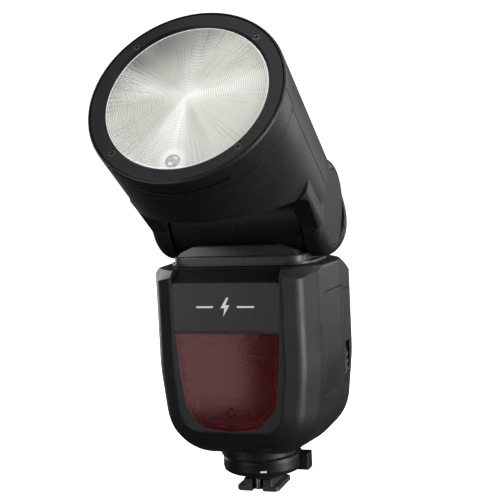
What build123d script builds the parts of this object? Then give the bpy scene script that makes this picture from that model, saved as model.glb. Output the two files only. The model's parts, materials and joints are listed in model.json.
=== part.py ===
from build123d import *
import os
from math import cos, radians, sin, tan

# A shoe-mount speedlight with a round head. Millimetres.
# X runs to the viewer's right as the front is seen, the front faces -Y, and +Z is up.
# The origin is the centre of the shoe foot's bottom face.

# ---- Driving dimensions -------------------------------------------------
WALL = 2.0
SEAM = 0.3
FIT = 0.05

# Shoe foot, after the standard accessory shoe
FOOT_WIDTH = 18.6
FOOT_LENGTH = 20.0
FOOT_THICK = 2.0
FOOT_NECK_WIDTH = 12.5
FOOT_NECK_TOP = 5.0
FOOT_CONE_TOP = 7.5
FOOT_NOTCH_WIDTH = 4.9
FOOT_NOTCH_DEPTH = 3.2

# Lock ring and the column that it turns on
COLUMN_R = 10.0
RING_R = 17.1
RING_BOTTOM = 7.8
RING_TOP = 15.3
TAB_END = 20.6
TAB_Y = (-2.0, 5.0)
PIN_Y = -8.0
PIN_R = 1.2
PLATE_BOTTOM = 15.6

# Body
BODY_TOP = 97.0
BODY_FRONT = -38.0
BODY_REAR = 22.0
CREASE_Y = -24.0
CREASE_HALF = 35.0
CREASE_FOOT_HALF = 31.0
CREASE_BOTTOM = 20.4
CREASE_CORNER = 20.0
CREASE_ROUND = 9.0
SHOULDER_Y = -34.2
SHOULDER_BEVEL = 5.0
SHOULDER_ROUND = 7.0
NOSE_BEVEL = 11.7
NOSE_ROUND = 2.2
REAR_GROWTH = 2.0
REAR_ROUND = 5.0
TOP_ROUND = 1.2
ABOVE_BODY = 125.0
TRIM_START = 37.8
TRIM_END = 46.6
TRIM_SLOPE = 1.08
PANEL_HALF = 22.5
SEAM_Y_TOP = -1.6
SEAM_Y_BOTTOM = -4.4
BADGE_BOTTOM = 73.0
BADGE_TOP = 92.0
BADGE_THICK = 1.2
WINDOW_TOP = 72.0
WINDOW_BOTTOM = 33.0
WINDOW_FLANGE = 1.2
SENSOR_Z = 40.4
SENSOR_R = 1.85

# Battery and its bay, on the +X side
BAY_Y = (-20.0, 4.0)
BAY_Z = (44.0, 86.0)
BAY_WALL = 1.2
BAY_END = -31.8
BATTERY_GAP = 0.3

# Ports, on the -X side
PORT_Y = (4.5, 15.0)
PORT_Z = (52.0, 80.0)
PORT_FLOOR = -35.3
PORT_PAD = -33.4
JACK_R = 1.27
JACK_Y = 10.5
JACK_Z = 72.0
JACK_LENGTH = 14.0
USB_Z = 59.0

# Rear panel
LCD_HALF = 24.0
LCD_Z = (61.5, 89.5)
BOARD_Y = (15.6, 17.0)
DIAL_Z = 39.5
DIAL_R = 11.5
DIAL_BORE = 5.6
SET_R = 4.6
KEY_Z = 55.3

# Neck
PIVOT_Y = -5.0
PIVOT_Z = 119.0
STUB_R = 14.0
FLANGE_HALF = 31.0
FLANGE_Y = (-24.0, 14.0)
FLANGE_Z = (97.3, 98.4)
NECK_HALF = 28.0
NECK_CORNER = 6.0
NECK_SHOULDER = 101.3
SADDLE_HALF = 25.5
SADDLE_FRONT = -22.4
NECK_CREST = 105.5
DRUM_R = 18.5
SHAFT_R = 4.0

# Head, in its own frame: +Z up and -Y forward from the tilt pivot before it is tilted
HEAD_TILT = 34.0
HEAD_R = 38.0
HEAD_LENGTH = 78.0
LENS_RISE = 2.0
COLLAR_DEPTH = 10.0
RIM_WIDTH = 0.8
CHEEK_X = 37.0
CHEEK_R = 20.0
CHEEK_ROUND = 4.5
SKIRT_HALF = 36.5
SKIRT_LOW = -17.6
SKIRT_DEPTH = 35.0
NOTCH_HALF = 28.6
NOTCH_R = 19.3
NOTCH_REAR_R = 27.0
CAP_R = 15.5
CAP_THICK = 1.2
LENS_R = 31.2
BEZEL_INNER = 31.3
BEZEL_BACK = 74.0
BEZEL_SCREW_R = 33.6
BEZEL_SCREW_ANGLES = (45, 135, 225, 315)
LAMP_DROP = 27.7

# Zoom mechanism
ROD_R = 1.2
ROD_X = 28.2
ROD_H = 12.3
SCREW_R = 1.5
SCREW_H = 33.0
CHASSIS_D = (21.8, 23.8)
FRAME_D = (68.6, 70.4)
REFLECTOR_D = (44.0, 66.0)
REFLECTOR_R = (8.0, 26.0)

LOW = (Align.MIN, Align.MIN, Align.MIN)
parts = {}


# ---- Shapes that many parts use -----------------------------------------
def block(x, y, z, corner=0.0, along=Axis.Z):
    """A box between (low, high) pairs, with the edges along one axis rounded."""
    solid = Pos(x[0], y[0], z[0]) * Box(x[1] - x[0], y[1] - y[0], z[1] - z[0], align=LOW)
    if corner:
        solid = fillet(solid.edges().filter_by(along), corner)
    return solid


def rod(radius, start, end):
    """A round bar from one point to another."""
    span = Vector(*end) - Vector(*start)
    return Solid.make_cylinder(radius, span.length, Plane(origin=start, z_dir=span.normalized()))


def tube(outer, inner, start, end):
    """A round bar with a round bore."""
    return rod(outer, start, end) - rod(inner, start, end)


def turned(axis_plane, *profile):
    """A solid of revolution about the plane's own normal, from (radius, height) corners."""
    section = make_face(Polyline(*[(radius, 0, height) for radius, height in profile], close=True))
    return axis_plane * revolve(section, Axis.Z)


def outline(*corners):
    """A closed flat outline from (u, v) or (u, v, corner radius) corners."""
    points = [corner[:2] for corner in corners]
    radii = [corner[2] if len(corner) > 2 else 0 for corner in corners]
    return make_face(FilletPolyline(*points, radius=radii, close=True))


def across(face, low, high):
    """A (Y, Z) outline run along X from low to high."""
    return Pos(low, 0, 0) * extrude(Plane.YZ * face, high - low)


def deep(face, low, high):
    """An (X, Z) outline run along Y from low to high."""
    return Pos(0, high, 0) * extrude(Plane.XZ * face, high - low)


def ahead(depth, height=LENS_RISE, x=0.0):
    """The plane across the head at a depth ahead of the pivot, with its normal forward."""
    return Plane(origin=(x, -depth, height), x_dir=(1, 0, 0), z_dir=(0, -1, 0))


def head_rod(radius, near, far, x=0.0, height=LENS_RISE):
    """A round bar along the head between two depths ahead of the pivot."""
    return rod(radius, (x, -near, height), (x, -far, height))


def head_block(x, depth, height, corner=0.0, along=Axis.Y):
    """A box in the head's frame, with its depths ahead of the pivot."""
    return block(x, (-depth[1], -depth[0]), height, corner, along)


def in_place(solid):
    """Moves a piece from the head's frame to the tilted head."""
    return Pos(0, PIVOT_Y, PIVOT_Z) * Rot(-HEAD_TILT, 0, 0) * solid


def group(*solids):
    """Separate solids that share one node."""
    return Compound(children=[solid for item in solids for solid in item.solids()])


def cross_recess(plane, size, depth):
    """The cross-shaped socket in a small screw's head."""
    arm = Box(size, size * 0.28, depth, align=(Align.CENTER, Align.CENTER, Align.MAX))
    return plane * (arm + Rot(0, 0, 90) * arm)


def small_screw(plane, head_r, head_height, shank_r, length):
    """A cross-head screw whose head's top lies on the plane, facing along its normal."""
    head = plane * Pos(0, 0, -head_height / 2) * Cylinder(head_r, head_height)
    shank = plane * Pos(0, 0, -length / 2) * Cylinder(shank_r, length)
    return head + shank - cross_recess(plane, head_r * 1.3, head_height * 0.6)


def screw_hole(plane, head_r, head_height, shank_r, length):
    """The counterbored hole that a small screw sits in."""
    head = plane * Pos(0, 0, -head_height / 2 + 0.5) * Cylinder(head_r, head_height + 1)
    shank = plane * Pos(0, 0, -length / 2) * Cylinder(shank_r, length)
    return head + shank


# ---- Body ---------------------------------------------------------------
def body_outline(depth, grow):
    """The body's outline from the front at one depth, open-topped, grown all round."""
    half = CREASE_HALF + grow
    foot_half = CREASE_FOOT_HALF + 0.9 * grow
    low = CREASE_BOTTOM - grow
    face = outline(
        (-half, ABOVE_BODY),
        (-half, 56, 80),
        (-foot_half, low, CREASE_CORNER + grow),
        (foot_half, low, CREASE_CORNER + grow),
        (half, 56, 80),
        (half, ABOVE_BODY),
    )
    return Pos(0, depth, 0) * (Plane.XZ * face)


def edges_at(solid, depth, below):
    """The edges that lie wholly at one depth along Y, under a height."""
    return [
        edge
        for edge in solid.edges()
        if edge.center().Z < below and all(abs(corner.Y - depth) < 0.001 for corner in edge.vertices())
    ]


def body_envelope(inset):
    """The body's outer shape, or its inside when inset by a wall."""
    front = BODY_FRONT + inset
    rear = BODY_REAR - inset
    top = BODY_TOP - inset
    outlines = [
        body_outline(front, -NOSE_BEVEL - 0.45 * inset),
        body_outline(SHOULDER_Y + 0.5 * inset, -SHOULDER_BEVEL - 0.7 * inset),
        body_outline(CREASE_Y, -inset),
        body_outline(0, REAR_GROWTH - inset),
    ]
    solid = loft(outlines[:2], ruled=True)
    solid += loft(outlines[1:3], ruled=True)
    solid += loft(outlines[2:], ruled=True)
    solid += extrude(body_outline(rear, REAR_GROWTH - inset), rear)
    solid &= block((-60, 60), (-60, 60), (0, top))
    if inset:
        return solid
    solid = fillet(edges_at(solid, CREASE_Y, top + 1), CREASE_ROUND)
    solid = fillet(edges_at(solid, SHOULDER_Y, top + 1), SHOULDER_ROUND)
    solid = fillet(edges_at(solid, front, top - 0.1), NOSE_ROUND)
    solid = fillet(edges_at(solid, rear, top - 0.1), REAR_ROUND)
    return fillet(solid.faces().sort_by(Axis.Z)[-1].edges(), TOP_ROUND)


def window_outline(margin):
    """The red window's outline, grown by a margin."""
    face = outline(
        (-21.7, WINDOW_TOP, 0.8),
        (-20.4, 56, 60),
        (-18.6, 42, 8),
        (-11.5, 34.1, 8),
        (0, WINDOW_BOTTOM - 0.4, 20),
        (11.5, 34.1, 8),
        (18.6, 42, 8),
        (20.4, 56, 60),
        (21.7, WINDOW_TOP, 0.8),
    )
    if margin:
        face = offset(face, margin)
    return face


def badge_outline(margin):
    """The badge plate's outline above the window."""
    face = outline(
        (-21.8, BADGE_BOTTOM, 0.6),
        (21.8, BADGE_BOTTOM, 0.6),
        (PANEL_HALF, BADGE_TOP, 1.2),
        (-PANEL_HALF, BADGE_TOP, 1.2),
    )
    if margin:
        face = offset(face, margin)
    return face


def front_region(gap):
    """Everything ahead of the body's front and rear seam."""
    return across(
        outline((-60, 0), (SEAM_Y_BOTTOM - gap, 0), (SEAM_Y_TOP - gap, 130), (-60, 130)), -60, 60
    )


def rear_region(gap):
    """Everything behind the body's front and rear seam."""
    return across(
        outline((SEAM_Y_BOTTOM + gap, 0), (60, 0), (60, 130), (SEAM_Y_TOP + gap, 130)), -60, 60
    )


def battery_shape(margin, low, high):
    """The battery's cross-section, grown by a margin and run along X."""
    near, far = BAY_Y
    bottom, top = BAY_Z
    section = outline(
        (near - margin, bottom - margin, 1.6 + margin),
        (far + margin, bottom - margin, 3.0 + margin),
        (far + margin, top + margin, 1.6 + margin),
        (near - margin, top + margin, 5.0 + margin),
    )
    return across(section, low, high)


KEYS_X = (-19.5, -6.5, 6.5, 19.5)
ROUND_KEYS = {
    "mode_button": (-21.5, 44.5),
    "test_button": (21.5, 44.5),
}
KEY_R = 3.4
POWER_SIZE = (5.0, 3.2)
POWER_AT = (-21.0, 32.5)


def corner_trim(inset):
    """The cone that trims the top corners, so that the level head clears them at any swivel."""
    top = BODY_TOP + 0.01
    drop = (TRIM_END - TRIM_START) * TRIM_SLOPE
    start = TRIM_START - 1.4 * inset
    corners = [(start, top), (start + TRIM_END - TRIM_START, top - drop), (60, top - drop), (60, top)]
    return turned(Plane(origin=(0, PIVOT_Y, 0)), *corners)


envelope = body_envelope(0) - corner_trim(0)
hollow = body_envelope(WALL) - corner_trim(WALL)
whole_shell = envelope - hollow

# The front's sloping scoop, down to the badge plate
brow_cut = outline((-45, 92), (BODY_FRONT, 92), (-30, BODY_TOP), (-30, 99), (-45, 99))
whole_shell -= across(brow_cut, -PANEL_HALF, PANEL_HALF)
scoop_skin = across(
    outline((BODY_FRONT, 92), (-30, BODY_TOP), (-29, 95), (-36, 90)), -PANEL_HALF - 1.5, PANEL_HALF + 1.5
)
whole_shell += scoop_skin & envelope - across(brow_cut, -PANEL_HALF, PANEL_HALF)

whole_shell -= deep(badge_outline(0.1), BODY_FRONT - 1, BODY_FRONT + BADGE_THICK)
whole_shell -= deep(window_outline(0.1), BODY_FRONT - 1, BODY_FRONT + WALL + 1)
whole_shell -= rod(STUB_R + 1, (0, PIVOT_Y, 90), (0, PIVOT_Y, 99))
whole_shell -= battery_shape(0, 0, 50)
PLATE_HALF = 17.0
whole_shell -= rod(PLATE_HALF + 0.1, (0, PIVOT_Y, 15), (0, PIVOT_Y, 24))

# Opening for the latch housing, behind the battery
HOUSING_Y = (4.6, 14.8)
HOUSING_Z = (44.2, 84.0)
whole_shell -= block((30, 50), HOUSING_Y, HOUSING_Z, 1.0, Axis.X)

# Port recess, jack hole and socket slot
port_pad = block((-36, PORT_PAD), (PORT_Y[0] - 1, PORT_Y[1] + 1), (PORT_Z[0] - 1, PORT_Z[1] + 1), 1.0, Axis.X)
whole_shell += port_pad & envelope
whole_shell -= block((-50, PORT_FLOOR), PORT_Y, PORT_Z)
whole_shell -= rod(3.0, (-50, JACK_Y, JACK_Z), (-30, JACK_Y, JACK_Z))
whole_shell -= block((-50, -30), (JACK_Y - 2.2, JACK_Y + 2.2), (USB_Z - 5, USB_Z + 5), 2.1, Axis.X)

# Rear openings
lcd_z = (LCD_Z[0] - 0.1, LCD_Z[1] + 0.1)
whole_shell -= block((-LCD_HALF - 0.1, LCD_HALF + 0.1), (BODY_REAR - WALL - 1, 30), lcd_z, 1.3, Axis.Y)
whole_shell -= rod(DIAL_R + 0.4, (0, 18, DIAL_Z), (0, 30, DIAL_Z))
for key_x in KEYS_X:
    whole_shell -= block((key_x - 4.8, key_x + 4.8), (18, 30), (KEY_Z - 2.1, KEY_Z + 2.1), 1.2, Axis.Y)
for key_x, key_z in ROUND_KEYS.values():
    whole_shell -= rod(KEY_R + 0.3, (key_x, 18, key_z), (key_x, 30, key_z))
whole_shell -= block(
    (POWER_AT[0] - 3.2, POWER_AT[0] + 3.2), (18, 30), (POWER_AT[1] - 2.2, POWER_AT[1] + 2.2), 1.0, Axis.Y
)

BODY_SCREWS = ((-22, 26.6), (22, 26.6))
for screw_x, screw_z in BODY_SCREWS:
    spot = Plane(origin=(screw_x, 20.5, screw_z), x_dir=(1, 0, 0), z_dir=(0, 1, 0))
    whole_shell -= screw_hole(spot, 2.2, 1.2, 1.1, 3.5)

parts["front_shell"] = whole_shell & front_region(SEAM / 2)
parts["rear_shell"] = whole_shell & rear_region(SEAM / 2)


# ---- Front pieces -------------------------------------------------------
badge = deep(badge_outline(0), BODY_FRONT, BODY_FRONT + BADGE_THICK)
parts["badge_plate"] = badge

window_skin = deep(window_outline(0), BODY_FRONT, BODY_FRONT + WALL)
window_lip = deep(window_outline(WINDOW_FLANGE), BODY_FRONT + WALL, BODY_FRONT + WALL + 1.2)
window_well = deep(window_outline(-1.6), BODY_FRONT + 1.5, BODY_FRONT + WALL + 2)
sensor_hole = rod(SENSOR_R + 0.1, (0, BODY_FRONT - 1, SENSOR_Z), (0, -30, SENSOR_Z))
parts["red_window"] = window_skin + (window_lip & hollow) - window_well - sensor_hole

sensor_barrel = rod(SENSOR_R, (0, BODY_FRONT + 0.2, SENSOR_Z), (0, -31.0, SENSOR_Z))
sensor_dome = Pos(0, BODY_FRONT + 1.2, SENSOR_Z) * Sphere(SENSOR_R)
parts["sensor_lens"] = (sensor_barrel - block((-3, 3), (-40, BODY_FRONT + 1.2), (37, 44))) + (
    sensor_dome & block((-3, 3), (BODY_FRONT, BODY_FRONT + 1.2), (37, 44))
)

BAFFLE_Y = (-34.4, -30.8)
baffle = deep(window_outline(-0.2), *BAFFLE_Y) & hollow
baffle -= deep(window_outline(-2.4), BAFFLE_Y[0] - 1, BAFFLE_Y[1] + 1)
for notch_x in (-14.0, -7.0, 0.0, 7.0, 14.0):
    baffle -= block((notch_x - 1.6, notch_x + 1.6), (-35, -32.4), (69, 74))
for notch_z in (48.0, 55.0, 62.0):
    baffle -= block((-24, 24), (-35, -32.4), (notch_z - 1.6, notch_z + 1.6))
parts["window_baffle"] = baffle

SENSOR_BOARD_Y = (-30.6, -29.2)
ASSIST_X = (-8.5, 8.5)
ASSIST_Z = 58.0
board = block((-19, 19), SENSOR_BOARD_Y, (37, 70), 2.0, Axis.Y)
board -= block((-2.6, 2.6), (-32, -28), (36, 44))
for lamp_x in ASSIST_X:
    lamp_y = (SENSOR_BOARD_Y[1], SENSOR_BOARD_Y[1] + 1.2)
    board += block((lamp_x - 3, lamp_x + 3), lamp_y, (ASSIST_Z - 3, ASSIST_Z + 3))
lamps = [
    tube(4.2, 2.6, (lamp_x, -35.0, ASSIST_Z), (lamp_x, SENSOR_BOARD_Y[0], ASSIST_Z))
    + rod(2.6, (lamp_x, -32.6, ASSIST_Z), (lamp_x, SENSOR_BOARD_Y[0], ASSIST_Z))
    for lamp_x in ASSIST_X
]
receiver = block((-4, 4), (-33.6, SENSOR_BOARD_Y[0]), (46.5, 51.5), 0.8, Axis.Y)
receiver += rod(2.0, (0, -34.4, 49), (0, -33.6, 49))
parts["assist_board"] = group(board, *lamps, receiver)

# ---- Battery ------------------------------------------------------------
bay_outer = battery_shape(BAY_WALL, BAY_END - BAY_WALL, 34.6)
bay_inner = battery_shape(0, BAY_END, 40)
contact_holes = [(BAY_END, -14 + 6 * i, 65.0) for i in range(3)]
battery_bay = (bay_outer & hollow) - bay_inner - block((32.3, 40), (BAY_Y[1] + 0.8, 8), (40, 90))
for hole_x, hole_y, hole_z in contact_holes:
    battery_bay -= block((hole_x - 2, hole_x + 1), (hole_y - 1.2, hole_y + 1.2), (hole_z - 5, hole_z + 5))
contact_blades = [
    block((hole_x - 1.0, hole_x + 0.6), (hole_y - 0.8, hole_y + 0.8), (hole_z - 5, hole_z + 5), 0.4, Axis.Y)
    for hole_x, hole_y, hole_z in contact_holes
]
parts["battery_bay"] = group(battery_bay, *contact_blades)

BATTERY_END = BAY_END + 1.4
LID_X = 32.0
battery_space = battery_shape(-BATTERY_GAP, BATTERY_END, 60)
parts["battery_case"] = battery_space & block((BATTERY_END, LID_X), (-30, 10), (40, 90))
lid = battery_space & envelope & block((LID_X, 60), (-30, 10), (40, 90))
parts["battery_lid"] = lid

# ---- Battery latch ------------------------------------------------------
housing_y = (HOUSING_Y[0] + SEAM, HOUSING_Y[1] - SEAM)
housing_z = (HOUSING_Z[0] + SEAM, HOUSING_Z[1] - SEAM)
housing = block((32.6, 50), housing_y, housing_z, 0.8, Axis.X) & envelope
LATCH_Y = (6.0, 13.4)
LATCH_Z = (46.6, 61.6)
LATCH_TRAVEL = 3.0
latch_well = block((34.2, 50), LATCH_Y, LATCH_Z, 0.8, Axis.X)
parts["latch_housing"] = housing - latch_well
latch_y = (LATCH_Y[0] + SEAM, LATCH_Y[1] - SEAM)
latch_z = (LATCH_Z[0] + SEAM, LATCH_Z[1] - SEAM - LATCH_TRAVEL)
latch = block((34.4, 35.6), latch_y, latch_z, 0.6, Axis.X)
for tab_z in (48.4, 51.6, 54.8):
    latch += block((35.6, 36.3), (LATCH_Y[0] + 1.2, LATCH_Y[1] - 1.2), (tab_z, tab_z + 1.5))
parts["battery_latch"] = latch

# ---- Ports --------------------------------------------------------------
port_block_y = (PORT_Y[0] + 1.4, PORT_Y[1] - 1.0)
port_block = block((PORT_PAD + 0.3, -24.5), port_block_y, (PORT_Z[0] + 1, PORT_Z[1] - 1))
jack_tube = rod(3.4, (PORT_PAD + 0.3, JACK_Y, JACK_Z), (-21.5, JACK_Y, JACK_Z))
jack_nose = rod(2.9, (PORT_FLOOR - 0.1, JACK_Y, JACK_Z), (PORT_PAD + 0.3, JACK_Y, JACK_Z))
usb_body = block((-34.9, -27.5), (JACK_Y - 1.6, JACK_Y + 1.6), (USB_Z - 4.45, USB_Z + 4.45), 1.55, Axis.X)
usb_mouth = block((-36, -28.5), (JACK_Y - 1.3, JACK_Y + 1.3), (USB_Z - 4.15, USB_Z + 4.15), 1.25, Axis.X)
usb_tongue = block((-34.2, -28.5), (JACK_Y - 0.35, JACK_Y + 0.35), (USB_Z - 3.2, USB_Z + 3.2))
jack_bore = rod(JACK_R, (-40, JACK_Y, JACK_Z), (PORT_FLOOR - 0.1 + JACK_LENGTH, JACK_Y, JACK_Z))
sync_jack = jack_tube + jack_nose - jack_bore
usb_port = usb_body - usb_mouth + usb_tongue
parts["port_block"] = group(port_block - jack_tube - usb_body, sync_jack, usb_port)

COVER_R = 0.8
COVER_HINGE = (-36.1, PORT_Y[0] + 1.6)
COVER_Z = (PORT_Z[0] + 0.25, PORT_Z[1] - 0.25)
cover = block((-50, PORT_FLOOR - 0.4), (COVER_HINGE[1], PORT_Y[1] - 0.25), COVER_Z) & envelope
cover += rod(COVER_R, (*COVER_HINGE, COVER_Z[0]), (*COVER_HINGE, COVER_Z[1]))
parts["port_cover"] = cover

# ---- Rear panel ---------------------------------------------------------
parts["lcd_window"] = block((-LCD_HALF, LCD_HALF), (BODY_REAR - 1.4, BODY_REAR), LCD_Z, 1.2, Axis.Y)
lcd_module = block((-25, 25), (BOARD_Y[1] + 0.6, BODY_REAR - WALL - 0.1), (LCD_Z[0] - 0.5, LCD_Z[1] + 1.5))
control_board = block((-27.5, 27.5), BOARD_Y, (30.0, 92.0), 2.0, Axis.Y)
control_board -= rod(DIAL_BORE - 1.6, (0, 10, DIAL_Z), (0, 20, DIAL_Z))
ENCODER_R = DIAL_BORE - FIT
dial_encoder = tube(ENCODER_R, ENCODER_R - 0.6, (0, BOARD_Y[1], DIAL_Z), (0, 21.4, DIAL_Z))
dial_encoder += rod(DIAL_R, (0, BOARD_Y[1], DIAL_Z), (0, BOARD_Y[1] + 0.7, DIAL_Z))
dial_encoder -= rod(SET_R, (0, 16, DIAL_Z), (0, 20, DIAL_Z))

beeper = tube(5.0, 0.9, (-8, BOARD_Y[0] - 4, 80), (-8, BOARD_Y[0], 80))
parts["control_board"] = group(control_board, lcd_module, dial_encoder, beeper)

DIAL_Y = (18.2, 25.0)
dial = tube(DIAL_R, DIAL_BORE, (0, DIAL_Y[0], DIAL_Z), (0, DIAL_Y[1], DIAL_Z))
dial = chamfer(dial.faces().sort_by(Axis.Y)[-1].edges().sort_by(SortBy.LENGTH)[-1], 0.8)
RIBS = 36
for rib in range(RIBS):
    angle = radians(360 / RIBS * rib)
    rib_x = DIAL_R * sin(angle)
    rib_z = DIAL_Z + DIAL_R * cos(angle)
    dial -= rod(0.45, (rib_x, 22.4, rib_z), (rib_x, DIAL_Y[1] + 1, rib_z))
dial += tube(DIAL_R + 0.8, DIAL_BORE, (0, DIAL_Y[0], DIAL_Z), (0, DIAL_Y[0] + 1.2, DIAL_Z))
parts["dial"] = dial

FLANGE_DEEP = (18.6, 19.6)
STEM_END = BOARD_Y[1] + 0.9


def round_key(x, z, radius, face_y, dish):
    """A round push button with a guide flange inside the wall and a stem to its switch."""
    cap = rod(radius, (x, FLANGE_DEEP[0], z), (x, face_y, z))
    cap = chamfer(cap.faces().sort_by(Axis.Y)[-1].edges(), 0.35)
    flange = rod(radius + 0.9, (x, FLANGE_DEEP[0], z), (x, FLANGE_DEEP[1], z))
    stem = rod(1.2, (x, STEM_END, z), (x, FLANGE_DEEP[0], z))
    bowl = Pos(x, face_y + dish * 6 - 0.25, z) * Sphere(dish * 6)
    return cap + flange + stem - bowl


def flat_key(x, z, width, height, face_y):
    """A rectangular push button with a guide flange and a stem."""
    cap_z = (z - height / 2, z + height / 2)
    cap = block((x - width / 2, x + width / 2), (FLANGE_DEEP[0], face_y), cap_z, 1.0, Axis.Y)
    cap = chamfer(cap.faces().sort_by(Axis.Y)[-1].edges(), 0.3)
    flange = block(
        (x - width / 2 - 0.8, x + width / 2 + 0.8), FLANGE_DEEP, (z - height / 2 - 0.8, z + height / 2 + 0.8)
    )
    stem = rod(1.0, (x, STEM_END, z), (x, FLANGE_DEEP[0], z))
    return cap + flange + stem


set_button = rod(SET_R, (0, 18.4, DIAL_Z), (0, 24.2, DIAL_Z))
set_button = chamfer(set_button.faces().sort_by(Axis.Y)[-1].edges(), 0.4)
parts["set_button"] = set_button + rod(1.2, (0, STEM_END, DIAL_Z), (0, 18.4, DIAL_Z))
for number, key_x in enumerate(KEYS_X, start=1):
    parts[f"function_button_{number}"] = flat_key(key_x, KEY_Z, 9.0, 3.6, 22.8)
for name, (key_x, key_z) in ROUND_KEYS.items():
    parts[name] = round_key(key_x, key_z, KEY_R, 22.8, 1.6)

power_x, power_z = POWER_AT
parts["power_button"] = flat_key(power_x, power_z, *POWER_SIZE, 22.6)

# ---- Electronics --------------------------------------------------------
CAPACITOR_R = 9.0
CAPACITOR_AT = (-10.0, 33.2)
cap_y, cap_z = CAPACITOR_AT
can = rod(CAPACITOR_R, (-20, cap_y, cap_z), (18, cap_y, cap_z))
can = fillet(can.edges(), 1.2)
parts["main_capacitor"] = can
MAIN_BOARD_Y = (6.4, 7.8)
main_board = block((-20, 30), MAIN_BOARD_Y, (36.0, 87.0), 1.5, Axis.Y)
core = block((-12, 8), (MAIN_BOARD_Y[1], 15.0), (50, 68), 1.0, Axis.Y)
transformer = core - block((-9, -5), (8, 16), (53, 65)) - block((1, 5), (8, 16), (53, 65))
transistor = block((14, 24), (MAIN_BOARD_Y[1], 12.2), (56, 71), 0.5, Axis.X)
parts["main_board"] = group(main_board, transformer, transistor)

# ---- Base, column and shoe foot -----------------------------------------
base = rod(16.0, (0, PIVOT_Y, PLATE_BOTTOM), (0, PIVOT_Y, 20.0))
base += rod(PLATE_HALF, (0, PIVOT_Y, 19.0), (0, PIVOT_Y, 23.0))
base = chamfer(base.edges().filter_by(GeomType.CIRCLE).sort_by(Axis.Z)[0], 0.8)
BASE_SCREWS = ((11.8, 1.0), (-11.8, 1.0), (9.0, -14.0), (-9.0, -14.0))
for screw_x, screw_y in BASE_SCREWS:
    spot = Plane(origin=(screw_x, screw_y, PLATE_BOTTOM + 0.4), x_dir=(1, 0, 0), z_dir=(0, 0, -1))
    base -= screw_hole(spot, 1.6, 1.2, 0.9, 4.0)
base -= rod(COLUMN_R, (0, 0, 15), (0, 0, 24))
parts["base_plate"] = base

column = rod(COLUMN_R, (0, 0, FOOT_CONE_TOP), (0, 0, 22.0))
column_head = rod(COLUMN_R + 3.5, (0, 0, 23.0), (0, 0, 24.0))
column += column_head & rod(PLATE_HALF - 1, (0, PIVOT_Y, 22), (0, PIVOT_Y, 25))
column += rod(COLUMN_R, (0, 0, 22), (0, 0, 24))
pin_bore = rod(PIN_R + FIT, (0, PIN_Y, -1), (0, PIN_Y, 14))
pin_slot = block((-0.9, 0.9), (-11, PIN_Y), (9.0, 14.0))
contact_well = block((-5.2, 5.2), (-5.6, 5.6), (FOOT_NECK_TOP, 12.0))
parts["mount_column"] = column - pin_bore - pin_slot - contact_well

foot = block((-FOOT_WIDTH / 2, FOOT_WIDTH / 2), (-FOOT_LENGTH / 2, FOOT_LENGTH / 2), (0, FOOT_THICK), 2.4)
foot = chamfer(foot.faces().sort_by(Axis.Z)[0].edges() + foot.faces().sort_by(Axis.Z)[-1].edges(), 0.25)
foot += block((-FOOT_NECK_WIDTH / 2, FOOT_NECK_WIDTH / 2), (-9.4, 9.4), (FOOT_THICK, FOOT_NECK_TOP), 0.8)
foot += turned(Plane.XY, (0, FOOT_NECK_TOP), (9.2, FOOT_NECK_TOP), (11.5, FOOT_CONE_TOP), (0, FOOT_CONE_TOP))
foot -= block(
    (-FOOT_NOTCH_WIDTH / 2, FOOT_NOTCH_WIDTH / 2), (-12, -FOOT_LENGTH / 2 + FOOT_NOTCH_DEPTH), (-1, FOOT_NECK_TOP)
)
CONTACTS = ((0, 0, 1.5), (-3.4, -2.9, 0.8), (3.4, -2.9, 0.8), (-3.4, 3.1, 0.8), (3.4, 3.1, 0.8))
FOOT_INSERT = (5.2, 5.6)
foot -= block((-FOOT_INSERT[0], FOOT_INSERT[0]), (-FOOT_INSERT[1], FOOT_INSERT[1]), (-1, 9), 0.8)
foot -= rod(PIN_R + FIT, (0, PIN_Y, -1), (0, PIN_Y, 9))
parts["shoe_foot"] = foot

insert = block((-FOOT_INSERT[0], FOOT_INSERT[0]), (-FOOT_INSERT[1], FOOT_INSERT[1]), (0, 10.0), 0.8)
pins = []
PIN_LIFT = 0.45
for pin_x, pin_y, pin_r in CONTACTS:
    insert -= rod(pin_r + 0.1, (pin_x, pin_y, -1), (pin_x, pin_y, 4.0))
    insert -= rod(pin_r + 0.6, (pin_x, pin_y, 2.4), (pin_x, pin_y, 8.0))
    tip = rod(pin_r, (pin_x, pin_y, -PIN_LIFT), (pin_x, pin_y, 3.0))
    tip = chamfer(tip.edges().sort_by(Axis.Z)[0], 0.2)
    pins.append(tip + rod(pin_r + 0.4, (pin_x, pin_y, 2.6), (pin_x, pin_y, 3.8)))
parts["shoe_contacts"] = group(*pins)
springs = [
    tube(pin_r + 0.4, pin_r - 0.1, (pin_x, pin_y, 4.3), (pin_x, pin_y, 8.0))
    for pin_x, pin_y, pin_r in CONTACTS
]
parts["shoe_contact_block"] = group(insert, *springs)

pin = rod(PIN_R, (0, PIN_Y, 0.5), (0, PIN_Y, 12.2))
pin = chamfer(pin.edges().filter_by(GeomType.CIRCLE).sort_by(Axis.Z)[0], 0.4)
pin += rod(0.6, (0, PIN_Y, 11.6), (0, -11.4, 11.6))
parts["lock_pin"] = pin

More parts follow.
